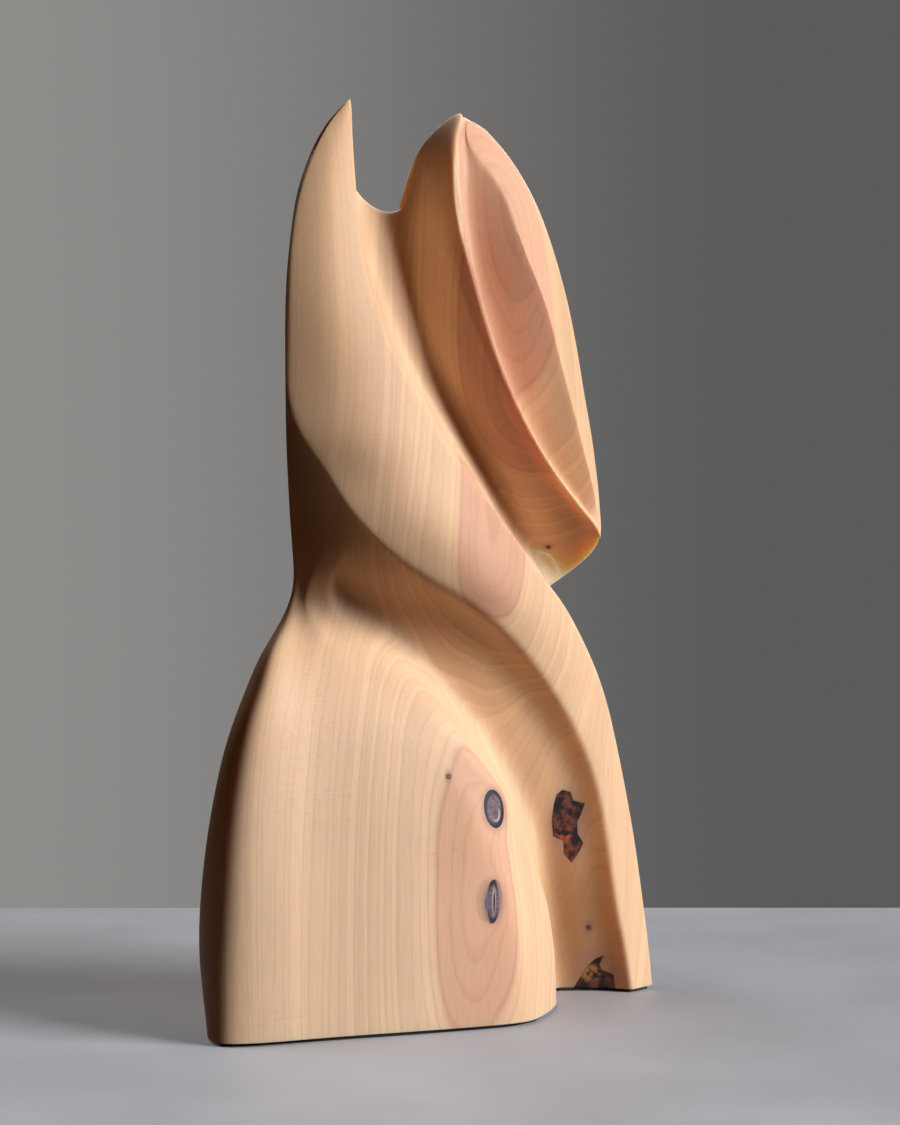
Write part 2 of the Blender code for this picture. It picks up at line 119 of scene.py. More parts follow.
def soft_light(name, turn, height, distance, size, watts, colour):
    """A square area light that looks at the carving: turn is degrees to the right of the camera."""
    lamp = bpy.data.lights.new(name, "AREA")
    lamp.size = size
    lamp.energy = watts
    lamp.color = colour
    side = math.radians(turn)
    rise = math.radians(height)
    way = (-AHEAD * math.cos(side) + ACROSS * math.sin(side)) * math.cos(rise)
    way += Vector((0, 0, math.sin(rise)))
    holder = bpy.data.objects.new(name, lamp)
    holder.location = LIGHT_AIM + way * distance
    holder.rotation_euler = (-way).to_track_quat("-Z", "Y").to_euler()
    bpy.context.scene.collection.objects.link(holder)
    return holder


soft_light("key_light", 66, 25, 3.4, 1.5, 180, (1, 1.03, 1.09))
table_fill = soft_light("table_fill", -80, 40, 1.5, 1.5, 20, (1, 0.99, 0.98))
back_fill = soft_light("back_fill", 175, 38, 3.0, 2.2, 60, (1, 0.97, 0.93))
all_but_table = bpy.data.collections.new("all_but_table")
all_but_table.objects.link(table)
all_but_table.collection_objects[0].light_linking.link_state = "EXCLUDE"
back_fill.light_linking.receiver_collection = all_but_table
only_table = bpy.data.collections.new("only_table")
only_table.objects.link(table)
table_fill.light_linking.receiver_collection = only_table

# %% [markdown]
# ### Room
# Beyond the table there is only the soft grey of a room, lighter on the left. The camera sees
# that fade, while the carving gets a weak warm glow instead, so its hollows stay reddish.

# %% Room
WALL_LEFT = (0.27, 0.265, 0.255, 1)
WALL_RIGHT = (0.105, 0.103, 0.104, 1)
FADE_FROM, FADE_TO = -0.22, 0.16  # how far to the side, as a share of straight ahead
ROOM_GLOW = (0.028, 0.012, 0.004, 1)
room = bpy.data.worlds.new("room")
room.use_nodes = True
bpy.context.scene.world = room
nodes, links = room.node_tree.nodes, room.node_tree.links
way_out = nodes.new("ShaderNodeTexCoord")
sideways = nodes.new("ShaderNodeVectorMath")
sideways.operation = "DOT_PRODUCT"
sideways.inputs[1].default_value = ACROSS
fade = nodes.new("ShaderNodeValToRGB")
fade.color_ramp.interpolation = "EASE"
fade.color_ramp.elements[0].color = WALL_LEFT
fade.color_ramp.elements[1].color = WALL_RIGHT
spread = nodes.new("ShaderNodeMapRange")
spread.inputs["From Min"].default_value = FADE_FROM
spread.inputs["From Max"].default_value = FADE_TO
seen = nodes["Background"]
glow = nodes.new("ShaderNodeBackground")
glow.inputs["Color"].default_value = ROOM_GLOW
path = nodes.new("ShaderNodeLightPath")
either = nodes.new("ShaderNodeMixShader")
links.new(way_out.outputs["Generated"], sideways.inputs[0])
links.new(sideways.outputs["Value"], spread.inputs["Value"])
links.new(spread.outputs[0], fade.inputs["Fac"])
links.new(fade.outputs["Color"], seen.inputs["Color"])
links.new(path.outputs["Is Camera Ray"], either.inputs[0])
links.new(glow.outputs[0], either.inputs[1])
links.new(seen.outputs[0], either.inputs[2])
links.new(either.outputs[0], nodes["World Output"].inputs["Surface"])
print("room with", len(nodes), "nodes")

# %% [markdown]
# ## The carving's lines
# A free-form carving has no straight edge to start from. What the eye follows is its lines:
# the ridges, the valleys and the outer edges. So each is drawn as a few points in
# millimetres, top to bottom, as a carver would pencil them on the block, and the surface is
# stretched between them. Primitives with extrusions could not give these twisting faces.

# %% Lines of the outside and the band
WAIST_LEFT = (-55, 33, 175)
SHOULDER = (42, -6, 179)
HORN_TIP = (-38.5, 14, 374)
BEAK = (73, -1, 197)
LEFT_BACK_UPPER = [
    HORN_TIP, (-45.5, 20, 365), (-51, 26, 351), (-54, 30, 338), (-56, 32, 320),
    (-57.5, 33, 298), (-58, 33, 265), (-57.5, 33, 233), (-56, 33, 204), WAIST_LEFT,
]
LEFT_BACK_LOWER = [
    WAIST_LEFT, (-62, 34, 159), (-70, 35, 145.5), (-78, 36, 126), (-83.5, 37, 109.5),
    (-88, 38, 88), (-91, 39, 67), (-92.5, 40, 45), (-92.5, 40, 31), (-91, 38, 15), (-88.5, 36, 0),
]
BAND_LEFT_UPPER = [
    HORN_TIP, (-48, 13, 363), (-57, 11, 347), (-63.5, 9, 330), (-67.5, 7, 311),
    (-69.5, 5, 290), (-70, 4, 262), (-69, 3.5, 247), (-66, 1.5, 237), (-57.5, -1, 225),
    (-50, -4.5, 211.5), (-44, -7, 203), (-33, -9, 192), (-18, -10, 180.5), (-10.5, -10, 176.5),
]
BAND_LEFT_LOWER = [
    (-10.5, -10, 176.5), (9.5, -8, 166), (30, -5, 151), (50.5, -1, 129.5), (65.5, 2, 108),
    (76, 5, 86), (82, 7, 64), (87, 9, 41), (93, 10.5, 19), (97, 11.5, 0),
]
BAND_RIGHT_UPPER = [
    HORN_TIP, (-40, 8, 352), (-41, 3, 331), (-41, -1, 313), (-38.5, -5, 293),
    (-32.5, -9, 273), (-21.5, -12, 253), (-6, -14, 228), (11, -13, 210), (27, -10, 194),
    SHOULDER,
]
BAND_RIGHT_LOWER = [
    SHOULDER, (55, -3, 166), (66.5, 0, 150), (77, 3, 132), (86.5, 6, 106), (97, 10, 71),
    (104.5, 13, 39), (109, 14.5, 15), (111, 15, 0),
]
print("band edges drawn with", len(BAND_LEFT_UPPER + BAND_RIGHT_UPPER), "points above the waist")

# %% Lines of the trough
# The trough runs from the notch to its way out behind the shoulder.
TROUGH_LEFT = [
    (-31, 30, 346), (-33, 23, 335), (-33, 17, 320), (-28, 12, 300), (-22, 6, 276),
    (-12, 1, 255), (1, -1, 235), (17, 0, 212), (34, 5, 193), (47, 9, 182), (53, 10, 176),
]
TROUGH_FLOOR = [
    (-14, 34, 334), (-13, 25, 321), (-10, 18, 299), (-5, 14, 276), (4, 13, 257),
    (16, 13, 238), (31, 15, 217), (47, 20, 197), (58, 22, 186), (63, 22, 176.5),
]
TROUGH_RISE = [
    (-2.5, 34, 337), (-4.5, 25, 323), (-5.5, 16, 302), (-1, 8, 279), (8, 5, 258), (20, 5, 238),
    (34, 7, 220), (50, 11, 203), (62, 16, 192), (70, 22, 180.5),
]
TROUGH_RIGHT = [
    (2.5, 34, 348), (-1, 24, 336), (-3, 14, 320), (-1.5, 4, 302), (4, -3, 281), (12, -7, 262),
    (23, -7, 243), (37, -4, 225), (53, 1, 209), (66, 8, 197), (73.5, 15, 186),
]
print("trough lines:", 4)

# %% Lines of the head and its hollow
HEAD_LEFT = [
    (5.5, 31, 364), (1, 20, 352), (-2, 10, 337), (-2.5, 1, 318), (1.5, -6, 298),
    (9, -11, 274), (19, -12.5, 252), (32, -11, 233), (47, -7, 218), (58, -3, 209),
    (68, 2, 200), (74, 5, 192),
]
HEAD_RIDGE = [
    (17, 24, 375.5), (9.5, 14, 366), (4.5, 6, 356), (1, 0, 342.5), (0, -4, 330), (1, -8, 317),
    (6, -12, 293), (13, -14.5, 269), (24.5, -15.5, 245), (38, -13.5, 227), (53, -9.5, 213),
    (69, -3, 201.5), BEAK,
]
HOLLOW_LEFT = [
    (18.5, 23.5, 375.3), (12.5, 13, 364.5), (7, 4.5, 352), (3.5, -2, 338), (3.5, -6, 323.5),
    (4.3, -9, 312), (7.5, -12, 293), (14.3, -14.5, 269), (25.8, -15.5, 245), (39.3, -13.5, 227),
    (54.3, -9.5, 213), (69.8, -3, 202), BEAK,
]
HOLLOW_FLOOR = [
    (20, 23.4, 375), (14.5, 14, 364.5), (12, 9.5, 352), (11, 9, 338), (13.5, 9.5, 318),
    (18.5, 10, 294), (26, 9, 270), (35.5, 6.5, 247), (47.5, 4, 229), (59, 1.5, 215),
    (70.3, -2, 202.5), BEAK,
]
HOLLOW_EDGE = [
    (22, 23.2, 374.3), (16.5, 14, 365), (18, 10, 359), (21.5, 7, 352), (25, 4, 345),
    (28, 1, 337), (31.5, -1, 325), (36.5, -3, 310), (44, -3.5, 294), (50, -4, 273.5),
    (56.5, -4, 253), (64, -3.5, 230), (70.5, -2, 211), (72.3, -1, 203), BEAK,
]
HEAD_RIGHT = [
    (28, 22, 370.5), (39.5, 20, 360.5), (47, 17, 347.5), (53, 15, 334.5), (58.5, 13, 318.5),
    (64, 12, 299.5), (68.5, 10, 275), (71.5, 8, 252), (73.5, 7, 240), (74.5, 4, 220),
    (73.7, 0, 203), BEAK,
]
print("head lines:", 6)

# %% Lines of the front foot and the lower groove
CORNER_LOWER = [
    (-55, 30, 171), (-60, 26, 163), (-69, 20, 155), (-76, 13, 147), (-83, 8, 134),
    (-88.5, 6, 123), (-92, 5, 110), (-95, 4, 95), (-97, 3.5, 81), (-98.5, 3, 65),
    (-99.5, 3.5, 48), (-100, 4.5, 31), (-100, 5.5, 12), (-100, 6, 0),
]
FOOT_FRONT_LOWER = [
    (-52, 26, 171), (-50.5, 19, 160), (-47.5, 11, 150), (-42, 2, 138), (-34, -7, 124),
    (-19, -15.5, 103), (-8, -19, 83), (2, -19.5, 58), (10, -20, 28), (14, -20, 0),
]
SKIRT_EDGE_LOWER = [
    (-44, 22, 172), (-37.5, 18, 160), (-28.5, 10.5, 149), (-18, 0.5, 138), (-8, -9, 125),
    (2, -15, 110), (14, -16.5, 95), (24, -14, 80), (33, -11, 63), (41.5, -7, 46),
    (48.5, -3, 24), (52.5, 1.5, 0),
]
GROOVE_FLOOR_LOWER = [
    (-38, 22, 178), (-27, 20, 169), (-11, 17, 155), (5, 16, 138), (19, 15.5, 121),
    (34, 16, 102), (48, 19, 80), (60, 23, 52), (67, 28, 24), (71, 30, 0),
]
print("foot lines:", 4)

# %% [markdown]
# ## From lines to rows
# The surface is a net of rows and columns, so every line gets the same number of points,
# evenly spaced. The lines share a waist where the foot begins, so that each is spaced above
# and below it by itself. Lines in between are blended from their neighbours.

# %% Even spacing
ROWS_ABOVE = 14  # rows of the cage from the tips to the waist
ROWS_BELOW = 12  # and from the waist to the base
ROWS = ROWS_ABOVE + ROWS_BELOW
SIDE_ROWS = (0, 2, 4, 6, 8, 10, 12)  # rows where the foot's lines run down the left side
CURVE_STEPS = 12


def curve_through(points, joint, pieces, pieces_after=0):
    """Points along a smooth curve through the given ones: evenly spaced up to the joint, which is
    the index of a given point, and evenly spaced after it."""
    points = [Vector(p) for p in points]
    ends = [2 * points[0] - points[1], *points, 2 * points[-1] - points[-2]]
    fine = []
    for a, b, c, d in zip(ends, ends[1:], ends[2:], ends[3:]):
        for step in range(CURVE_STEPS):
            t = step / CURVE_STEPS
            fine.append(0.5 * (2 * b + (c - a) * t + (2 * a - 5 * b + 4 * c - d) * t * t
                               + (3 * b - a - 3 * c + d) * t ** 3))
    fine.append(points[-1])
    run = np.concatenate([[0], np.cumsum([(q - p).length for p, q in zip(fine, fine[1:])])])
    waist = run[joint * CURVE_STEPS]
    where = np.linspace(0, waist, pieces + 1)
    if pieces_after:
        where = np.concatenate([where, np.linspace(waist, run[-1], pieces_after + 1)[1:]])
    axes = [np.interp(where, run, [p[axis] for p in fine]) for axis in range(3)]
    return [Vector(p) for p in zip(*axes)]


def whole_line(upper, lower):
    """A line of the cage from the horn's tip to the base."""
    return curve_through(upper[:-1] + lower, len(upper) - 1, ROWS_ABOVE, ROWS_BELOW)


def head_line(points):
    """A line of the trough or the head: from the rim above to the rim below, and then the lip."""
    return curve_through(points[:-1], len(points) - 2, ROWS_ABOVE - 1) + [Vector(points[-1])]


print("each long line gets", len(whole_line(BAND_LEFT_UPPER, BAND_LEFT_LOWER)), "points")

# %% Lines in between


def between(first, second, share, lift=0.0, fade=None):
    """A line between two others. lift moves it to the front by a share of their distance, and
    fade weakens that row by row."""
    fade = fade or [1.0] * len(first)
    return [a.lerp(b, share) - Vector((0, lift * f * (b - a).length, 0))
            for a, b, f in zip(first, second, fade)]


def fading(first_row, last_row):
    """0 down to first_row, 1 from last_row on, with a smooth step between them."""
    steps = [min(max((row - first_row) / (last_row - first_row), 0), 1) for row in range(ROWS + 1)]
    return [s * s * (3 - 2 * s) for s in steps]


print("fading:", [round(f, 2) for f in fading(0, 4)[:6]])

# %% The two sheets of the front
FOOT_CORNER = 0.15  # how far the front foot rounds out beside its inner corner
BAND_CROWN = 0.12


def front_lines():
    """The lines of the front, from left to right: the lower sheet's from the horn's tip to the
    base, and the upper sheet's from the notch to the way out under the beak."""
    left = whole_line(LEFT_BACK_UPPER, LEFT_BACK_LOWER)
    band_left = whole_line(BAND_LEFT_UPPER, BAND_LEFT_LOWER)
    band_right = whole_line(BAND_RIGHT_UPPER, BAND_RIGHT_LOWER)

    def from_the_side(share, lower):
        """Down the left side above the waist, then along a line of its own."""
        side = between(left, band_left, share)
        return whole_line([side[row] for row in SIDE_ROWS] + [Vector(lower[0])], lower)

    corner = from_the_side(0.14, CORNER_LOWER)
    edge = from_the_side(0.56, SKIRT_EDGE_LOWER)
    front = from_the_side(0.42, FOOT_FRONT_LOWER)
    floor = from_the_side(0.74, GROOVE_FLOOR_LOWER)
    groove = fading(ROWS_ABOVE - 6, ROWS_ABOVE + 2)
    foot = fading(ROWS_ABOVE, ROWS)
    crown = [1 - 0.6 * f for f in fading(ROWS_ABOVE - 2, ROWS_ABOVE + 4)]
    lower_sheet = [
        left,
        corner,
        between(corner, front, 0.33, 0.015, foot),
        between(corner, front, 0.67, 0.015, foot),
        front,
        between(front, edge, 0.45, FOOT_CORNER, foot),
        edge,
        between(edge, floor, 0.5, -0.1, groove),
        floor,
        between(floor, band_left, 0.4, -0.07, groove),
        between(floor, band_left, 0.78, -0.11, groove),
        band_left,
        between(band_left, band_right, 0.33, BAND_CROWN, crown),
        between(band_left, band_right, 0.67, 0.85 * BAND_CROWN, crown),
        band_right,
    ]
    hollow_floor = head_line(HOLLOW_FLOOR)
    hollow_edge = head_line(HOLLOW_EDGE)
    head_right = head_line(HEAD_RIGHT)
    upper_sheet = [
        band_right[:ROWS_ABOVE + 1],
        *[head_line(points) for points in (TROUGH_LEFT, TROUGH_FLOOR, TROUGH_RISE, TROUGH_RIGHT,
                                           HEAD_LEFT, HEAD_RIDGE, HOLLOW_LEFT)],
        hollow_floor,
        between(hollow_floor, hollow_edge, 0.5, -0.04),
        hollow_edge,
        between(hollow_edge, head_right, 0.5, 0.08),
        head_right,
    ]
    return lower_sheet, upper_sheet


lower_sheet, upper_sheet = front_lines()
print("lower sheet", len(lower_sheet), "lines, upper sheet", len(upper_sheet), "lines")

# %% [markdown]
# ## Sheets
# Each sheet is a grid primitive whose points are laid on the lines. Sheets that share an
# edge are joined and their doubled points merged.

# %% Grid on lines
WELD = 0.001


def deselect():
    for thing in bpy.context.selected_objects:
        thing.select_set(False)


def sheet_on(lines, name):
    """A grid with a column of points on each line."""
    deselect()
    rows = len(lines[0])
    bpy.ops.mesh.primitive_grid_add(x_subdivisions=rows - 1, y_subdivisions=len(lines) - 1, size=1)
    sheet = bpy.context.object
    sheet.name = name
    for vert, point in zip(sheet.data.vertices, (p for column in lines for p in column)):
        vert.co = point
    return sheet


def joined(sheets):
    """The sheets as one mesh, with the points on shared edges merged."""
    deselect()
    for sheet in sheets:
        sheet.select_set(True)
    bpy.context.view_layer.objects.active = sheets[0]
    bpy.ops.object.join()
    bpy.ops.object.mode_set(mode="EDIT")
    bpy.ops.mesh.select_all(action="SELECT")
    bpy.ops.mesh.remove_doubles(threshold=WELD)
    bpy.ops.mesh.dissolve_degenerate(threshold=WELD)
    bpy.ops.object.mode_set(mode="OBJECT")
    return sheets[0]


left_edge, right_edge = lower_sheet[0], lower_sheet[-1]
last = len(lower_sheet) - 1
back = joined([
    sheet_on([between(left_edge, right_edge, i / last) for i in range(last + 1)], "carving"),
    sheet_on(upper_sheet, "upper"),
])
print("back sheet:", len(back.data.vertices), "points")

# %% [markdown]
# ## The back
# The back is a plain swelling form, fullest in the middle and running out to the same edges
# as the front. Blown up like a membrane over the outline, it gets that shape by itself: the
# depth at each point is the square root of how far a stretched skin would rise there.

# %% Membrane
BACK_FULLNESS = 0.38  # how far the back bulges: 0 is flat, 1 is a half circle


def edge_points(mesh):
    """Which points lie on an open edge, as a mask, and the open edges themselves."""
    uses = {}
    for face in mesh.polygons:
        for key in face.edge_keys:
            uses[key] = uses.get(key, 0) + 1
    rim = [key for key, count in uses.items() if count == 1]
    mask = np.zeros(len(mesh.vertices), bool)
    mask[[i for key in rim for i in key]] = True
    return mask, rim


def stiffness(mesh):
    """How strongly each two points pull on each other, and each point's share of the area."""
    count = len(mesh.vertices)
    pull, area = np.zeros((count, count)), np.zeros(count)
    flat = [Vector((v.co.x, v.co.z)) for v in mesh.vertices]
    for face in mesh.polygons:
        first, *others = face.vertices
        for corners in ((first, b, c) for b, c in zip(others, others[1:])):
            double = abs((flat[corners[1]] - flat[first]).cross(flat[corners[2]] - flat[first]))
            if double < WELD:
                continue
            for k in range(3):
                i, j, here = corners[k - 2], corners[k - 1], corners[k]
                weight = 0.5 * (flat[i] - flat[here]).dot(flat[j] - flat[here]) / double
                pull[i, i] += weight
                pull[j, j] += weight
                pull[i, j] -= weight
                pull[j, i] -= weight
                area[here] += double / 6
    return pull, area


rim_mask, rim = edge_points(back.data)
ground = np.array([abs(v.co.z) < WELD for v in back.data.vertices])
outer = np.zeros(len(ground), bool)
for a, b in rim:
    if ground[a] != ground[b]:
        outer[[a, b]] = True
held = rim_mask & (~ground | outer)
free = ~held
pull, area = stiffness(back.data)
depth = np.array([v.co.y for v in back.data.vertices])
inside = pull[np.ix_(free, free)]
depth[free] = np.linalg.solve(inside, -pull[np.ix_(free, held)] @ depth[held])
depth[free] += BACK_FULLNESS * np.sqrt(np.maximum(2 * np.linalg.solve(inside, area[free]), 0))
for vert, y in zip(back.data.vertices, depth):
    vert.co.y = y
back_base = sorted((back.data.vertices[i].co.copy() for i in np.flatnonzero(rim_mask & ground)),
                   key=lambda p: p.x)
print("back swells to", round(float(depth.max()), 1), "mm")

# %% [markdown]
# ## One closed net
# Front, back and base are joined into one closed net. Where the wood has a crisp ridge the
# net's edges are creased a little, so that the smooth surface turns quickly there.

# %% Join front, back and base
front_base = [column[-1] for column in lower_sheet]
carving = joined([
    back, sheet_on(lower_sheet, "front_lower"), sheet_on(upper_sheet, "front_upper"),
    sheet_on([[f, f.lerp(b, 0.5), b] for f, b in zip(front_base, back_base)], "base"),
])
bpy.ops.object.mode_set(mode="EDIT")
bpy.ops.mesh.select_all(action="SELECT")
bpy.ops.mesh.normals_make_consistent(inside=False)
bpy.ops.object.mode_set(mode="OBJECT")
net = carving.data
print("net:", len(net.vertices), "points,", len(net.polygons), "faces")

# %% Crisp ridges
creases = net.attributes.get("crease_edge") or net.attributes.new("crease_edge", "FLOAT", "EDGE")
edge_at = {edge.key: edge.index for edge in net.edges}
point_at = {tuple(round(c, 3) for c in v.co): v.index for v in net.vertices}


def crisp(line, sharpness):
    """Creases the net along a line; sharpness is one number or one for each row."""
    found = [point_at.get(tuple(round(c, 3) for c in p)) for p in line]
    for row, (a, b) in enumerate(zip(found, found[1:])):
        edge = edge_at.get((min(a, b), max(a, b))) if None not in (a, b) else None
        if edge is not None:
            value = sharpness[row] if isinstance(sharpness, list) else sharpness
            creases.data[edge].value = value


# How crisp each edge is: 0 is round, 1 is cut sharp.
CUT_EDGE = 1.0
BAND_EDGE = 0.65
BAND_FAR_EDGE = 0.3
HEAD_EDGE = 0.55
NOTCH_RIM = 0.3
SOFT_EDGE = 0.4
crisp(lower_sheet[-1], BAND_EDGE)
crisp(lower_sheet[11], BAND_FAR_EDGE)
along_the_foot = [a - b for a, b in zip(fading(ROWS_ABOVE + 1, ROWS_ABOVE + 6),
                                        fading(ROWS - 4, ROWS))]
crisp(lower_sheet[6], [SOFT_EDGE * f for f in along_the_foot])
for line in (6, 7, 10):
    crisp(upper_sheet[line], [HEAD_EDGE * f for f in fading(0, 3)])
crisp([column[0] for column in upper_sheet[:6]], NOTCH_RIM)
crisp([column[-2] for column in upper_sheet[2:]], SOFT_EDGE)
crisp([column[-1] for column in upper_sheet], SOFT_EDGE)
crisp(front_base, CUT_EDGE)
crisp(back_base, CUT_EDGE)
print("creased edges:", sum(1 for item in creases.data if item.value > 0))

# %% [markdown]
# ## Smooth surface through the lines
# A Subdivision Surface rounds the net and so pulls away from its points. The net is moved
# out by as much as the surface fell short, twice, and then the surface passes through the
# drawn lines. After that it is brought to its real size and place, and the modifier applied.

# %% Push the net out
LEVELS = 3
PUSHES = 2
low, high = (Vector([pick(v.co[axis] for v in net.vertices) for axis in range(3)])
             for pick in (min, max))
drawn = [v.co.copy() for v in net.vertices]
rounding = carving.modifiers.new("rounding", "SUBSURF")
rounding.levels = rounding.render_levels = LEVELS
for _ in range(PUSHES):
    smooth = carving.evaluated_get(bpy.context.evaluated_depsgraph_get()).to_mesh()
    reached = [v.co.copy() for v in smooth.vertices[:len(drawn)]]
    for vert, aim, now in zip(net.vertices, drawn, reached):
        vert.co += aim - now
    net.update()
    net.update_tag()
    bpy.context.view_layer.update()
print("furthest push", round(max((v.co - p).length for v, p in zip(net.vertices, drawn)), 2), "mm")

# %% Real size and place
WIDTH, DEPTH, HEIGHT = 211.0, 80.2, 374.0  # of the wood, in millimetres
PAD_THICKNESS = 1.4
GLUE_LINE = 0.1
TO_SCENE = (
    Matrix.Scale(MM, 4)
    @ Matrix.Translation((0, 0, PAD_THICKNESS + GLUE_LINE))
    @ Matrix.Diagonal((WIDTH / (high.x - low.x), DEPTH / (high.y - low.y),
                       HEIGHT / (high.z - low.z), 1))
    @ Matrix.Translation((-(low.x + high.x) / 2, -(low.y + high.y) / 2, -low.z))
)
net.transform(TO_SCENE)


def apply_all(piece):
    """Applies the piece's modifiers in their order."""
    deselect()
    piece.select_set(True)
    bpy.context.view_layer.objects.active = piece
    for modifier in list(piece.modifiers):
        bpy.ops.object.modifier_apply(modifier=modifier.name)


apply_all(carving)
print("carving:", len(carving.data.polygons), "faces,", [round(d, 4) for d in carving.dimensions])

# %% [markdown]
# ## Knots and bark pockets
# A branch that the tree grew round shows as a plug of darker wood with a thin bark ring. Each
# knot is its own piece: the carving's own surface cut out by an oval prism, so it lies flush,
# and the wood keeps a hair's width of dark gap round it. The bark pockets are made the same way.

# %% Cutting out a fill
FILL_GAP = 0.12


def outline_grown(outline, gap):
    """The outline moved outwards by gap."""
    points = [Vector(p) for p in outline]
    turn = sum(a.cross(b) for a, b in zip(points, points[1:] + points[:1]))
    moved = []
    for before, here, after in zip(points[-1:] + points, points, points[1:] + points[:1]):
        first = (here - before).normalized()
        corner = (first + (after - here).normalized()).normalized()
        out = Vector((corner.y, -corner.x)) * (1 if turn > 0 else -1)
        moved.append(here + out * gap / max(corner.dot(first), 0.5))
    return moved


def facing(point, way_out, tilt=0.0):
    """A frame at a drawn point: its Z is the way out of the wood, and its Y is up."""
    out = Vector(way_out).normalized()
    side = Vector((0, 0, 1)).cross(out).normalized()
    turn = Matrix((side, out.cross(side), out)).transposed().to_4x4()
    return Matrix.Translation(TO_SCENE @ Vector(point)) @ turn @ Matrix.Rotation(
        math.radians(tilt), 4, "Z")


def prism(outline, place, thickness):
    """The outline filled and extruded both ways from its place."""
    deselect()
    bpy.ops.mesh.primitive_circle_add(vertices=len(outline), radius=1, fill_type="NGON")
    shape = bpy.context.object
    for vert, (u, v) in zip(shape.data.vertices, outline):
        vert.co = (u * MM, v * MM, -thickness * MM / 2)
    bpy.ops.object.mode_set(mode="EDIT")
    bpy.ops.mesh.select_all(action="SELECT")
    bpy.ops.mesh.extrude_region_move(TRANSFORM_OT_translate={"value": (0, 0, thickness * MM)})
    bpy.ops.mesh.select_all(action="SELECT")
    bpy.ops.mesh.normals_make_consistent(inside=False)
    bpy.ops.object.mode_set(mode="OBJECT")
    shape.data.transform(place)
    return shape


def combine(piece, tool, operation):
    """Applies a Boolean with the tool."""
    cut = piece.modifiers.new("cut", "BOOLEAN")
    cut.operation = operation
    cut.object = tool
    cut.solver = "MANIFOLD"
    apply_all(piece)


def set_in(name, outline, place, depth):
    """Cuts a pocket in the carving and returns the flush fill that goes in it."""
    shape = prism(outline, place, 2 * depth)
    pocket = prism(outline_grown(outline, FILL_GAP), place, 2 * (depth + FILL_GAP))
    fill = carving.copy()
    fill.data = carving.data.copy()
    fill.name = name
    bpy.context.scene.collection.objects.link(fill)
    combine(fill, shape, "INTERSECT")
    combine(carving, pocket, "DIFFERENCE")
    for tool in (shape, pocket):
        bpy.data.objects.remove(tool, do_unlink=True)
    print(name, len(fill.data.polygons), "faces, carving", len(carving.data.polygons))
    return fill


# %% Pin knots, branch knots and bark


def ellipse(width, height, points=24):
    return [(width / 2 * math.cos(a), height / 2 * math.sin(a))
            for a in (2 * math.pi * k / points for k in range(points))]


# In millimetres, in the frame of the drawn lines.
KNOT_PLANE = -19.0  # the depth of the face that the branch knots show in
PIN_DIAMETER, PIN_DEPTH = 2.2, 4.0
KNOT_DEPTH = 7.0
POCKET_DEPTH = 5.0
UPPER_KNOT = (9.6, KNOT_PLANE, 87)
LOWER_KNOT = (8.2, KNOT_PLANE, 50)
FOOT_PIN = (-11, -19.5, 101)
GROOVE_PIN = (81, 20, 27)
TROUGH_PIN = (59, 18, 193)
WALL_POCKET = (67, 15, 74)
BASE_POCKET = (85, 21, 7)
fills = {}
for name, point, way_out in [
    ("pin_in_foot", FOOT_PIN, (-0.1, -1, 0)),
    ("pin_in_groove", GROOVE_PIN, (-0.5, -0.83, -0.2)),
    ("pin_in_trough", TROUGH_PIN, (-0.43, -0.6, -0.69)),
]:
    fills[name] = set_in(name, ellipse(PIN_DIAMETER, PIN_DIAMETER), facing(point, way_out), PIN_DEPTH)
for name, centre, width, height, tilt in [
    ("upper_branch_knot", UPPER_KNOT, 10.0, 15.5, 12.0),
    ("lower_branch_knot", LOWER_KNOT, 7.0, 17.5, -4.0),
]:
    place = facing(centre, (0, -1, 0), tilt)
    fills[name] = set_in(name, ellipse(width, height, 40), place, KNOT_DEPTH)
for name, centre, way_out, outline in [
    ("bark_in_wall", WALL_POCKET, (-0.36, -0.9, -0.24),
     [(-3, 15), (0.5, 14), (2, 10), (7, 9), (5.5, 4), (4, 0), (4.5, -5), (7, -9), (5.5, -13),
      (2.5, -18), (-1, -14), (-1.5, -8), (-6, -6), (-7, 1), (-6.5, 8), (-5.5, 13)]),
    ("bark_in_base", BASE_POCKET, (-0.52, -0.84, -0.16),
     [(-10, -9), (9, -9), (8, -1), (3, 1), (2, 3.5), (4, 7.5), (0.5, 6), (-3, 3), (-6, -2)]),
]:
    fills[name] = set_in(name, outline, facing(centre, way_out), POCKET_DEPTH)

# %% Smooth shading
for piece in [carving, *fills.values()]:
    deselect()
    piece.select_set(True)
    bpy.context.view_layer.objects.active = piece
    bpy.ops.object.shade_smooth_by_angle(angle=math.radians(40))
print("carving after cutting:", len(carving.data.polygons), "faces")

# %% [markdown]
# ## Wood
# Growth rings are cylinders round the pith of the log. The pith lies a little in front of the
# carved face and leans, so flat faces show long upright lines, and where a hollow cuts through
# the rings they close into loops. The colour is worked out the same way: how far is this point
# from the pith? Near it the wood is pink, further out it is cream.

# %% Helper for node trees


def add(tree, kind, settings=None, **inputs):
    """A node with its settings and its inputs, which are values or other nodes' sockets."""
    node = tree.nodes.new(kind)
    for key, value in (settings or {}).items():
        setattr(node, key, value)
    for key, value in inputs.items():
        socket = node.inputs[int(key[1:]) if key[0] == "i" and key[1:].isdigit() else key.replace("_", " ")]
        if isinstance(value, bpy.types.NodeSocket):
            tree.links.new(value, socket)
        else:
            socket.default_value = value
    return node


def maths(tree, operation, *values):
    node = add(tree, "ShaderNodeMath", {"operation": operation},
               **{f"i{n}": value for n, value in enumerate(values)})
    return node.outputs[0]


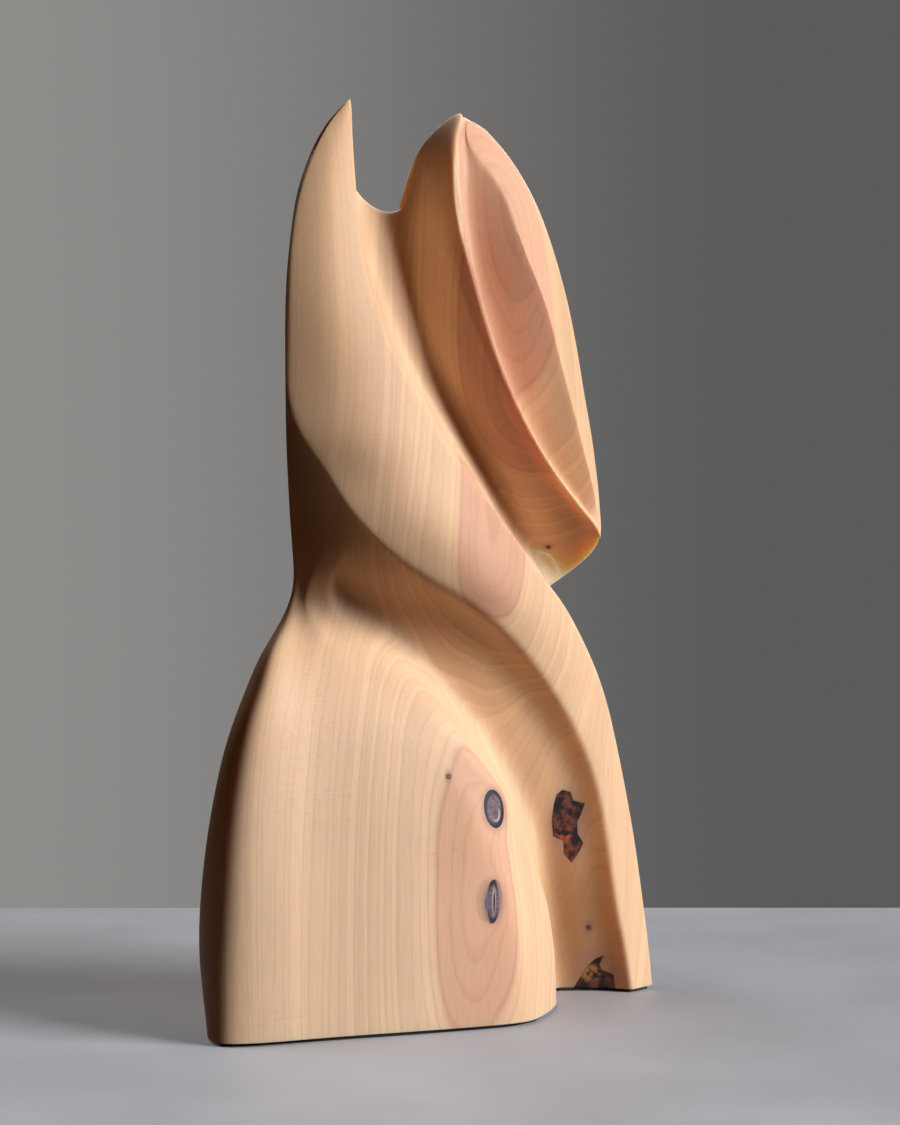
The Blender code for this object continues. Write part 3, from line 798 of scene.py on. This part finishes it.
def smooth_step(tree, value, start, end, low=0.0, high=1.0):
    """low before start, high after end, and a smooth step between them."""
    node = add(tree, "ShaderNodeMapRange", {"interpolation_type": "SMOOTHSTEP"}, Value=value,
               From_Min=start, From_Max=end, To_Min=low, To_Max=high)
    return node.outputs[0]


def new_group(name, inputs, outputs):
    """An empty node group: inputs are (name, kind, value), outputs are (name, kind)."""
    group = bpy.data.node_groups.new(name, "ShaderNodeTree")
    for label, kind, value in inputs:
        socket = group.interface.new_socket(label, in_out="INPUT", socket_type="NodeSocket" + kind)
        if value is not None:
            socket.default_value = value
    for label, kind in outputs:
        group.interface.new_socket(label, in_out="OUTPUT", socket_type="NodeSocket" + kind)
    return group, group.nodes.new("NodeGroupInput"), group.nodes.new("NodeGroupOutput")


print("helpers ready")

# %% [markdown]
# ### A spot
# Knots, halos and small marks are soft oval spots at a place on the wood. One group does them
# all: it measures the distance from a centre, stretched by the spot's size.

# %% Spot group
spot_group, given, result = new_group(
    "soft_spot",
    [("Place", "Vector", None), ("Centre", "Vector", (0, 0, 0)), ("Size", "Vector", (1, 1, 1)),
     ("Soft from", "Float", 0.6), ("Soft to", "Float", 1.0)],
    [("Mask", "Float"), ("Distance", "Float")])
away = add(spot_group, "ShaderNodeVectorMath", {"operation": "SUBTRACT"},
           i0=given.outputs["Place"], i1=given.outputs["Centre"])
stretched = add(spot_group, "ShaderNodeVectorMath", {"operation": "DIVIDE"},
                i0=away.outputs[0], i1=given.outputs["Size"])
far = add(spot_group, "ShaderNodeVectorMath", {"operation": "LENGTH"}, i0=stretched.outputs[0])
mask = add(spot_group, "ShaderNodeMapRange", {"interpolation_type": "SMOOTHSTEP"},
           Value=far.outputs["Value"], From_Min=given.outputs["Soft from"],
           From_Max=given.outputs["Soft to"], To_Min=1.0, To_Max=0.0)
spot_group.links.new(mask.outputs[0], result.inputs["Mask"])
spot_group.links.new(far.outputs["Value"], result.inputs["Distance"])


def spot(tree, place, centre, size, soft_from=0.6, soft_to=1.0):
    """The mask of a spot: centre in drawn millimetres, size in millimetres."""
    node = add(tree, "ShaderNodeGroup", {"node_tree": spot_group}, Place=place,
               Centre=tuple(TO_SCENE @ Vector(centre)), Size=tuple(MM * s for s in size),
               Soft_from=soft_from, Soft_to=soft_to)
    return node.outputs["Mask"]


print("spot group with", len(spot_group.nodes), "nodes")

# %% [markdown]
# ### The rings
# The group measures the distance from the pith, which is a gently bent upright line, wobbles
# it a little with noise, and cuts it into rings. Each ring ends in a thin darker line.

# %% Ring group
# The pith: height, then how far across and how far ahead of the middle it is, in millimetres.
PITH = [(0, 23, -57), (40, 22.5, -51), (75, 23, -52), (110, 25, -55), (150, 29, -46),
        (200, 33, -36), (250, 33, -22), (300, 32, -16), (375, 33, -8)]
PITH_HEIGHT, PITH_SPAN = 400.0, 100.0


def bent_line(tree, height, column):
    """The pith's place across or ahead, in metres, at a height in metres."""
    share = maths(tree, "MULTIPLY", height, 1 / (PITH_HEIGHT * MM))
    curve = add(tree, "ShaderNodeFloatCurve", i1=share)
    points = curve.mapping.curves[0].points
    places = [(row[0] / PITH_HEIGHT, 0.5 + row[column] / PITH_SPAN / 2) for row in PITH]
    points[0].location, points[1].location = places[0], places[-1]
    for place in places[1:-1]:
        points.new(*place)
    curve.mapping.update()
    return maths(tree, "MULTIPLY", maths(tree, "SUBTRACT", curve.outputs[0], 0.5), 2 * PITH_SPAN * MM)


ring_group, given, result = new_group(
    "growth_rings",
    [("Place", "Vector", None), ("Ring width", "Float", 3 * MM), ("Bulge", "Float", 0.0)],
    [("Radius", "Float"), ("Line", "Float"), ("Shade", "Float")])
long_grain = add(ring_group, "ShaderNodeMapping", Vector=given.outputs["Place"], Scale=(1, 1, 0.16))
wobble = add(ring_group, "ShaderNodeTexNoise", Vector=long_grain.outputs[0], Scale=22.0, Detail=2.0)
centred = add(ring_group, "ShaderNodeVectorMath", {"operation": "SUBTRACT"},
              i0=wobble.outputs["Color"], i1=(0.5, 0.5, 0.5))
shift = add(ring_group, "ShaderNodeVectorMath", {"operation": "MULTIPLY"},
            i0=centred.outputs[0], i1=(0.012, 0.012, 0))
bent = add(ring_group, "ShaderNodeVectorMath", {"operation": "ADD"},
           i0=given.outputs["Place"], i1=shift.outputs[0])
across = add(ring_group, "ShaderNodeVectorMath", {"operation": "DOT_PRODUCT"},
             i0=bent.outputs[0], i1=tuple(ACROSS)).outputs["Value"]
ahead = add(ring_group, "ShaderNodeVectorMath", {"operation": "DOT_PRODUCT"},
            i0=bent.outputs[0], i1=tuple(AHEAD)).outputs["Value"]
height = add(ring_group, "ShaderNodeSeparateXYZ", Vector=bent.outputs[0]).outputs["Z"]
sideways = maths(ring_group, "SUBTRACT", across, bent_line(ring_group, height, 1))
inwards = maths(ring_group, "SUBTRACT", ahead, bent_line(ring_group, height, 2))
radius = maths(ring_group, "SQRT", maths(
    ring_group, "ADD", maths(ring_group, "MULTIPLY", sideways, sideways),
    maths(ring_group, "MULTIPLY", inwards, inwards)))
radius = maths(ring_group, "ADD", radius, given.outputs["Bulge"])
count = maths(ring_group, "DIVIDE", radius, given.outputs["Ring width"])
uneven = add(ring_group, "ShaderNodeTexNoise", {"noise_dimensions": "1D"},
             W=maths(ring_group, "MULTIPLY", count, 0.45), Scale=1.0, Detail=1.0)
count = maths(ring_group, "ADD", count, maths(ring_group, "MULTIPLY", uneven.outputs[0], 2.4))
ring = maths(ring_group, "FLOOR", count)
phase = maths(ring_group, "FRACT", count)
rise = smooth_step(ring_group, phase, 0.35, 0.93)
fall = smooth_step(ring_group, phase, 0.95, 1.0, 1.0, 0.0)
change = add(ring_group, "ShaderNodeTexWhiteNoise", {"noise_dimensions": "1D"}, W=ring).outputs[0]
strength = maths(ring_group, "ADD", 0.35, maths(ring_group, "MULTIPLY", change, 0.65))
line = maths(ring_group, "MULTIPLY", maths(ring_group, "POWER", rise, 3.0), fall)
ring_group.links.new(radius, result.inputs["Radius"])
ring_group.links.new(maths(ring_group, "MULTIPLY", line, strength), result.inputs["Line"])
ring_group.links.new(change, result.inputs["Shade"])
print("ring group with", len(ring_group.nodes), "nodes")

# %% [markdown]
# ### Fibres
# Between the rings the wood has fine upright fibres and, here and there, a patch of short
# flecks that catch the light. They come from noise that is stretched along the grain.

# %% Fibre group
fibre_group, given, result = new_group(
    "fibres", [("Place", "Vector", None)], [("Fibre", "Float"), ("Fleck", "Float"), ("Cloud", "Float")])
thread = add(fibre_group, "ShaderNodeMapping", Vector=given.outputs["Place"], Scale=(1, 1, 0.02))
fine = add(fibre_group, "ShaderNodeTexNoise", Vector=thread.outputs[0], Scale=1500.0, Detail=3.0)
short = add(fibre_group, "ShaderNodeMapping", Vector=given.outputs["Place"], Scale=(0.22, 0.22, 1))
flecks = add(fibre_group, "ShaderNodeTexNoise", Vector=short.outputs[0], Scale=900.0, Detail=2.0)
patch = add(fibre_group, "ShaderNodeTexNoise", Vector=given.outputs["Place"], Scale=26.0, Detail=1.0)
fleck = maths(fibre_group, "MULTIPLY", smooth_step(fibre_group, flecks.outputs[0], 0.55, 0.72),
              smooth_step(fibre_group, patch.outputs[0], 0.55, 0.68))
drift = add(fibre_group, "ShaderNodeMapping", Vector=given.outputs["Place"], Scale=(1, 1, 0.3))
cloud = add(fibre_group, "ShaderNodeTexNoise", Vector=drift.outputs[0], Scale=14.0, Detail=2.0)
fibre_group.links.new(fine.outputs[0], result.inputs["Fibre"])
fibre_group.links.new(fleck, result.inputs["Fleck"])
fibre_group.links.new(cloud.outputs[0], result.inputs["Cloud"])
print("fibre group with", len(fibre_group.nodes), "nodes")

# %% [markdown]
# ### The wood itself
# The material mixes cream and pink by the distance from the pith, with a thin darker edge
# between them, darkens the ring lines, and adds halos round the knots. Light and shade are also
# painted in: the wide foot gets a paler cream and pink as painted light, and the horn and the
# head's right side get a deeper cream as painted shade. The groove's wall near the bark is browner,
# partly as painted shade in the groove and partly as brownish wood round the bark. A little light
# passes through the wood, which warms its shadows. The satin finish is a roughness that the
# fibres change a little.

# %% Wood material


def blend(tree, factor, first, second, mode="MIX"):
    """Two colours mixed; each is an RGB triple or a socket."""
    node = add(tree, "ShaderNodeMix", {"data_type": "RGBA", "blend_type": mode})
    for socket, value in zip((node.inputs[0], node.inputs[6], node.inputs[7]),
                             (factor, first, second)):
        if isinstance(value, bpy.types.NodeSocket):
            tree.links.new(value, socket)
        else:
            socket.default_value = value if isinstance(value, float) else (*value, 1)
    return node.outputs[2]


def new_material(name):
    material = bpy.data.materials.new(name)
    material.use_nodes = True
    tree = material.node_tree
    place = tree.nodes.new("ShaderNodeTexCoord").outputs["Object"]
    return material, tree, place, tree.nodes["Principled BSDF"]


CREAM = (0.77, 0.49, 0.29)
# Painted light and shade: the paler cream and pink light up the wide foot, and the deeper cream shades the
# horn and the head's right side.
PAINTED_LIT_CREAM = (0.89, 0.605, 0.385)
PAINTED_SHADED_CREAM = (0.64, 0.40, 0.225)
PINK = (0.67, 0.365, 0.23)
PAINTED_LIT_PINK = (0.775, 0.46, 0.29)
LINE = (0.50, 0.25, 0.12)
HEART_EDGE = (0.46, 0.215, 0.14)
HALO = (0.42, 0.20, 0.17)
# Painted shade in the lower groove, partly also the brownish wood round the bark.
SHADED_GROOVE_BROWN = (0.42, 0.19, 0.07)
RING_WIDTH = 3.2 * MM
HEART_RADIUS = 24.5 * MM
LINE_STRENGTH, EDGE_STRENGTH, FLECK_STRENGTH = 0.27, 0.3, 0.06
wood, tree, place, shader = new_material("oiled_pale_wood")
bulge = None
for centre, size, amount in [(UPPER_KNOT, (12, 30, 17), -6 * MM),
                             (LOWER_KNOT, (11, 30, 18), -4 * MM)]:
    part = maths(tree, "MULTIPLY", spot(tree, place, centre, size, 0.0, 1.0), amount)
    bulge = part if bulge is None else maths(tree, "ADD", bulge, part)
rings = add(tree, "ShaderNodeGroup", {"node_tree": ring_group}, Place=place, Ring_width=RING_WIDTH,
            Bulge=bulge)
fibres = add(tree, "ShaderNodeGroup", {"node_tree": fibre_group}, Place=place)
# Painted light on the wide foot and painted shade on the horn and the head's right side, as soft spots in
# the colour.
painted_light_on_foot = spot(tree, place, (-50, -10, 50), (85, 60, 120), 0.45, 1.0)
painted_shade_on_horn_and_head = maths(tree, "MULTIPLY", spot(tree, place, (-50, 5, 320), (42, 60, 105), 0.4, 1.0), 0.85)
painted_shade_on_horn_and_head = maths(tree, "MAXIMUM", painted_shade_on_horn_and_head, spot(tree, place, (68, 10, 285), (34, 60, 120), 0.3, 1.0))
cream_with_painted_light_and_shade = blend(tree, painted_shade_on_horn_and_head, blend(tree, painted_light_on_foot, CREAM, PAINTED_LIT_CREAM), PAINTED_SHADED_CREAM)
heart = smooth_step(tree, rings.outputs["Radius"], HEART_RADIUS, HEART_RADIUS + 2.5 * MM, 1.0, 0.0)
colour = blend(tree, heart, cream_with_painted_light_and_shade, blend(tree, painted_light_on_foot, PINK, PAINTED_LIT_PINK))
border = maths(
    tree, "MULTIPLY",
    smooth_step(tree, rings.outputs["Radius"], HEART_RADIUS - 0.1 * MM, HEART_RADIUS + 0.5 * MM),
    smooth_step(tree, rings.outputs["Radius"], HEART_RADIUS + 0.6 * MM, HEART_RADIUS + 1.0 * MM,
                1.0, 0.0))
colour = blend(tree, maths(tree, "MULTIPLY", border, EDGE_STRENGTH), colour, HEART_EDGE)
colour = blend(tree, maths(tree, "MULTIPLY", rings.outputs["Line"], LINE_STRENGTH), colour, LINE)
shade = smooth_step(tree, rings.outputs["Shade"], 0.0, 1.0, 0.94, 1.04)
fibre_shade = smooth_step(tree, fibres.outputs["Fibre"], 0.3, 0.7, 0.965, 1.03)
cloud_shade = smooth_step(tree, fibres.outputs["Cloud"], 0.3, 0.7, 0.93, 1.06)
total = maths(tree, "MULTIPLY", maths(tree, "MULTIPLY", shade, fibre_shade), cloud_shade)
total = maths(tree, "SUBTRACT", total,
              maths(tree, "MULTIPLY", fibres.outputs["Fleck"], FLECK_STRENGTH))
grey = add(tree, "ShaderNodeCombineColor", Red=total, Green=total, Blue=total).outputs[0]
colour = blend(tree, 1.0, colour, grey, "MULTIPLY")
# Painted shade: the lower groove by the bark pockets is painted brown, partly for the shade in the groove
# and partly for the brownish wood round the bark.
groove_shade_and_bark_brown = spot(tree, place, (70, 22, 30), (26, 30, 62), 0.3, 1.0)
colour = blend(tree, maths(tree, "MULTIPLY", groove_shade_and_bark_brown, 0.6), colour, SHADED_GROOVE_BROWN)
for centre, size, strength in [
    (UPPER_KNOT, (9, 20, 12), 0.75), (LOWER_KNOT, (8, 20, 12.5), 0.7),
    (FOOT_PIN, (2.4, 8, 4.5), 0.45), (GROOVE_PIN, (3, 5, 5), 0.4),
    (TROUGH_PIN, (3, 5, 3), 0.35), (WALL_POCKET, (13, 12, 24), 0.55),
    ((85, 21, 9), (15, 12, 14), 0.5),
]:
    halo = maths(tree, "MULTIPLY", spot(tree, place, centre, size, 0.35, 1.0), strength)
    colour = blend(tree, halo, colour, HALO)
tree.links.new(colour, shader.inputs["Base Color"])
satin = smooth_step(tree, fibres.outputs["Fibre"], 0.3, 0.7, 0.50, 0.58)
tree.links.new(satin, shader.inputs["Roughness"])
relief = maths(tree, "ADD", maths(tree, "MULTIPLY", fibres.outputs["Fibre"], 0.5),
               rings.outputs["Line"])
bump = add(tree, "ShaderNodeBump", Strength=0.10, Distance=0.15 * MM, Height=relief)
tree.links.new(bump.outputs[0], shader.inputs["Normal"])
shader.inputs["Specular IOR Level"].default_value = 0.25
shader.inputs["Subsurface Weight"].default_value = 0.45
shader.inputs["Subsurface Radius"].default_value = (1.0, 0.42, 0.16)
shader.inputs["Subsurface Scale"].default_value = 7 * MM
print("wood material with", len(tree.nodes), "nodes")

# %% [markdown]
# ### Branch knots
# The cut end of a branch is grey-purple with fine veins and a near-black rim of bark. The upper
# one has a pale crescent, and the lower one is leaf-shaped with a pale seam round a dark crack.
# Each mark is a soft oval, placed in the same frame as the knots.

# %% Knot material
PALE_CRACK = (0.42, 0.31, 0.29)
DARK_CRACK = (0.01, 0.006, 0.008)
KNOT_RIM = (0.018, 0.01, 0.016)
BESIDE_LEAF = (0.36, 0.19, 0.15)
knot_wood, tree, place, shader = new_material("knot_wood")
veins = add(tree, "ShaderNodeTexNoise", Vector=place, Scale=700.0, Detail=4.0)
colour = blend(tree, smooth_step(tree, veins.outputs[0], 0.35, 0.65),
               (0.10, 0.065, 0.075), (0.19, 0.13, 0.14))
for centre, size in [(UPPER_KNOT, (5, 30, 7.75)), (LOWER_KNOT, (3.5, 30, 8.75))]:
    rim = add(tree, "ShaderNodeGroup", {"node_tree": spot_group}, Place=place,
              Centre=tuple(TO_SCENE @ Vector(centre)), Size=tuple(MM * s for s in size),
              Soft_from=0.62, Soft_to=0.85)
    near = smooth_step(tree, rim.outputs["Distance"], 1.15, 1.2, 1.0, 0.0)
    edge = maths(tree, "MULTIPLY", near, maths(tree, "SUBTRACT", 1.0, rim.outputs["Mask"]))
    colour = blend(tree, edge, colour, KNOT_RIM)
leaf = maths(tree, "MINIMUM", spot(tree, place, (5.9, -19, 50), (5.2, 60, 12), 0.9, 1.0),
             spot(tree, place, (10.5, -19, 50), (5.2, 60, 12), 0.9, 1.0))
beside = maths(tree, "MULTIPLY", spot(tree, place, LOWER_KNOT, (9, 60, 12), 0.95, 1.0),
               maths(tree, "SUBTRACT", 1.0, leaf))
colour = blend(tree, beside, colour, BESIDE_LEAF)
crescent = maths(tree, "SUBTRACT", spot(tree, place, (10.6, -19, 84.6), (2.5, 30, 3.2), 0.8, 1.0),
                 spot(tree, place, (9.9, -19, 85.4), (2.3, 30, 3.1), 0.8, 1.0))
colour = blend(tree, smooth_step(tree, crescent, 0.1, 0.6, 0.0, 0.9), colour, PALE_CRACK)
for centre, size, tone in [((5.8, -19, 49.5), (1.5, 30, 3.4), (0.15, 0.11, 0.17)),
                           ((8.6, -19, 50), (1.15, 30, 7.2), PALE_CRACK),
                           ((8.7, -19, 49.5), (0.5, 30, 5.6), DARK_CRACK)]:
    colour = blend(tree, spot(tree, place, centre, size, 0.6, 1.0), colour, tone)
tree.links.new(colour, shader.inputs["Base Color"])
shader.inputs["Roughness"].default_value = 0.38
tree.links.new(add(tree, "ShaderNodeBump", Strength=0.2, Distance=0.2 * MM,
                   Height=veins.outputs[0]).outputs[0], shader.inputs["Normal"])
print("knot material with", len(tree.nodes), "nodes")

# %% [markdown]
# ### Bark and resin
# Where the tree grew over its own bark, the pocket holds near-black bark and glossy red-brown
# resin, orange where the light gets into it. Lumpy noise splits the two.

# %% Bark material
bark, tree, place, shader = new_material("bark_and_resin")
lumps = add(tree, "ShaderNodeTexNoise", Vector=place, Scale=260.0, Detail=5.0)
colour = blend(tree, smooth_step(tree, lumps.outputs[0], 0.42, 0.62),
               (0.012, 0.006, 0.005), (0.17, 0.05, 0.03))
for centre, size, tone in [((66, 15, 68.5), (5, 12, 5), (0.5, 0.1, 0.03)),
                           ((69.5, 15, 59), (3, 12, 5), (0.3, 0.06, 0.02)),
                           ((83.5, 21, 7), (6.5, 12, 5.5), (0.55, 0.24, 0.06))]:
    patch = maths(tree, "MULTIPLY", spot(tree, place, centre, size, 0.2, 1.0),
                  smooth_step(tree, lumps.outputs[0], 0.38, 0.58))
    colour = blend(tree, patch, colour, tone)
tree.links.new(colour, shader.inputs["Base Color"])
shader.inputs["Roughness"].default_value = 0.3
tree.links.new(add(tree, "ShaderNodeBump", Strength=0.6, Distance=1.0 * MM,
                   Height=lumps.outputs[0]).outputs[0], shader.inputs["Normal"])
print("bark material with", len(tree.nodes), "nodes")

# %% [markdown]
# ### Pin knots, felt and table
# The pin knots are plain brown end grain, and the felt is a near-black matt fuzz, so dark that it
# also stands in as painted shade for the shadow line under the feet. The table's two near greys
# drift into each other, so it stays quiet behind the wood.

# %% Pin knot, felt and table materials
pin_wood, tree, place, shader = new_material("pin_knot_wood")
specks = add(tree, "ShaderNodeTexNoise", Vector=place, Scale=1200.0, Detail=3.0)
tree.links.new(blend(tree, specks.outputs[0], (0.05, 0.018, 0.01), (0.30, 0.13, 0.07)),
               shader.inputs["Base Color"])
shader.inputs["Roughness"].default_value = 0.5

# The felt's near-black is partly painted shade: it also gives the dark shadow line under the feet.
felt, tree, place, shader = new_material("dark_felt")
fuzz = add(tree, "ShaderNodeTexNoise", Vector=place, Scale=2500.0, Detail=3.0)
tree.links.new(blend(tree, fuzz.outputs[0], (0.012, 0.011, 0.01), (0.05, 0.046, 0.042)),
               shader.inputs["Base Color"])
shader.inputs["Roughness"].default_value = 0.95
tree.links.new(add(tree, "ShaderNodeBump", Strength=0.5, Distance=0.2 * MM,
                   Height=fuzz.outputs[0]).outputs[0], shader.inputs["Normal"])

stone, tree, place, shader = new_material("pale_table")
mottle = add(tree, "ShaderNodeTexNoise", Vector=place, Scale=9.0, Detail=6.0)
tree.links.new(blend(tree, smooth_step(tree, mottle.outputs[0], 0.3, 0.7),
                     (0.325, 0.325, 0.34), (0.385, 0.385, 0.405)),
               shader.inputs["Base Color"])
shader.inputs["Roughness"].default_value = 0.6
print("materials:", [m.name for m in bpy.data.materials if m.use_nodes])

# %% [markdown]
# ## Putting the materials on
# Each piece takes one material and is attached to the root body, and the imported node it
# stands for is hidden. The felt stays as it was packed and only gets its material.

# %% Put the materials on


def coat(piece, material):
    """Gives the whole piece one material."""
    piece.data.materials.clear()
    piece.data.materials.append(material)
    for face in piece.data.polygons:
        face.material_index = 0


coat(carving, wood)
coat(table, stone)
STANDS_FOR = {
    "pin_in_foot": ("pin_knot_foot", "knot"), "pin_in_groove": ("pin_knot_groove", "knot"),
    "pin_in_trough": ("pin_knot_trough", "knot"), "upper_branch_knot": ("knot_upper", "knot"),
    "lower_branch_knot": ("knot_lower", "knot"), "bark_in_wall": ("bark_fill_wall", "bark"),
    "bark_in_base": ("bark_fill_base", "bark"),
}
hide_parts("carved_body")
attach(carving, "root")
for name, (node, slot) in STANDS_FOR.items():
    coat(fills[name], bark if slot == "bark" else pin_wood if "pin" in name else knot_wood)
    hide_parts(node)
    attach(fills[name], "root")
for node in ("felt_front_foot", "felt_right_foot"):
    for holder in frame["nodes"][node].material_slots:
        holder.material = felt

# %% [markdown]
# ## The end

# %% The end
print("the end")
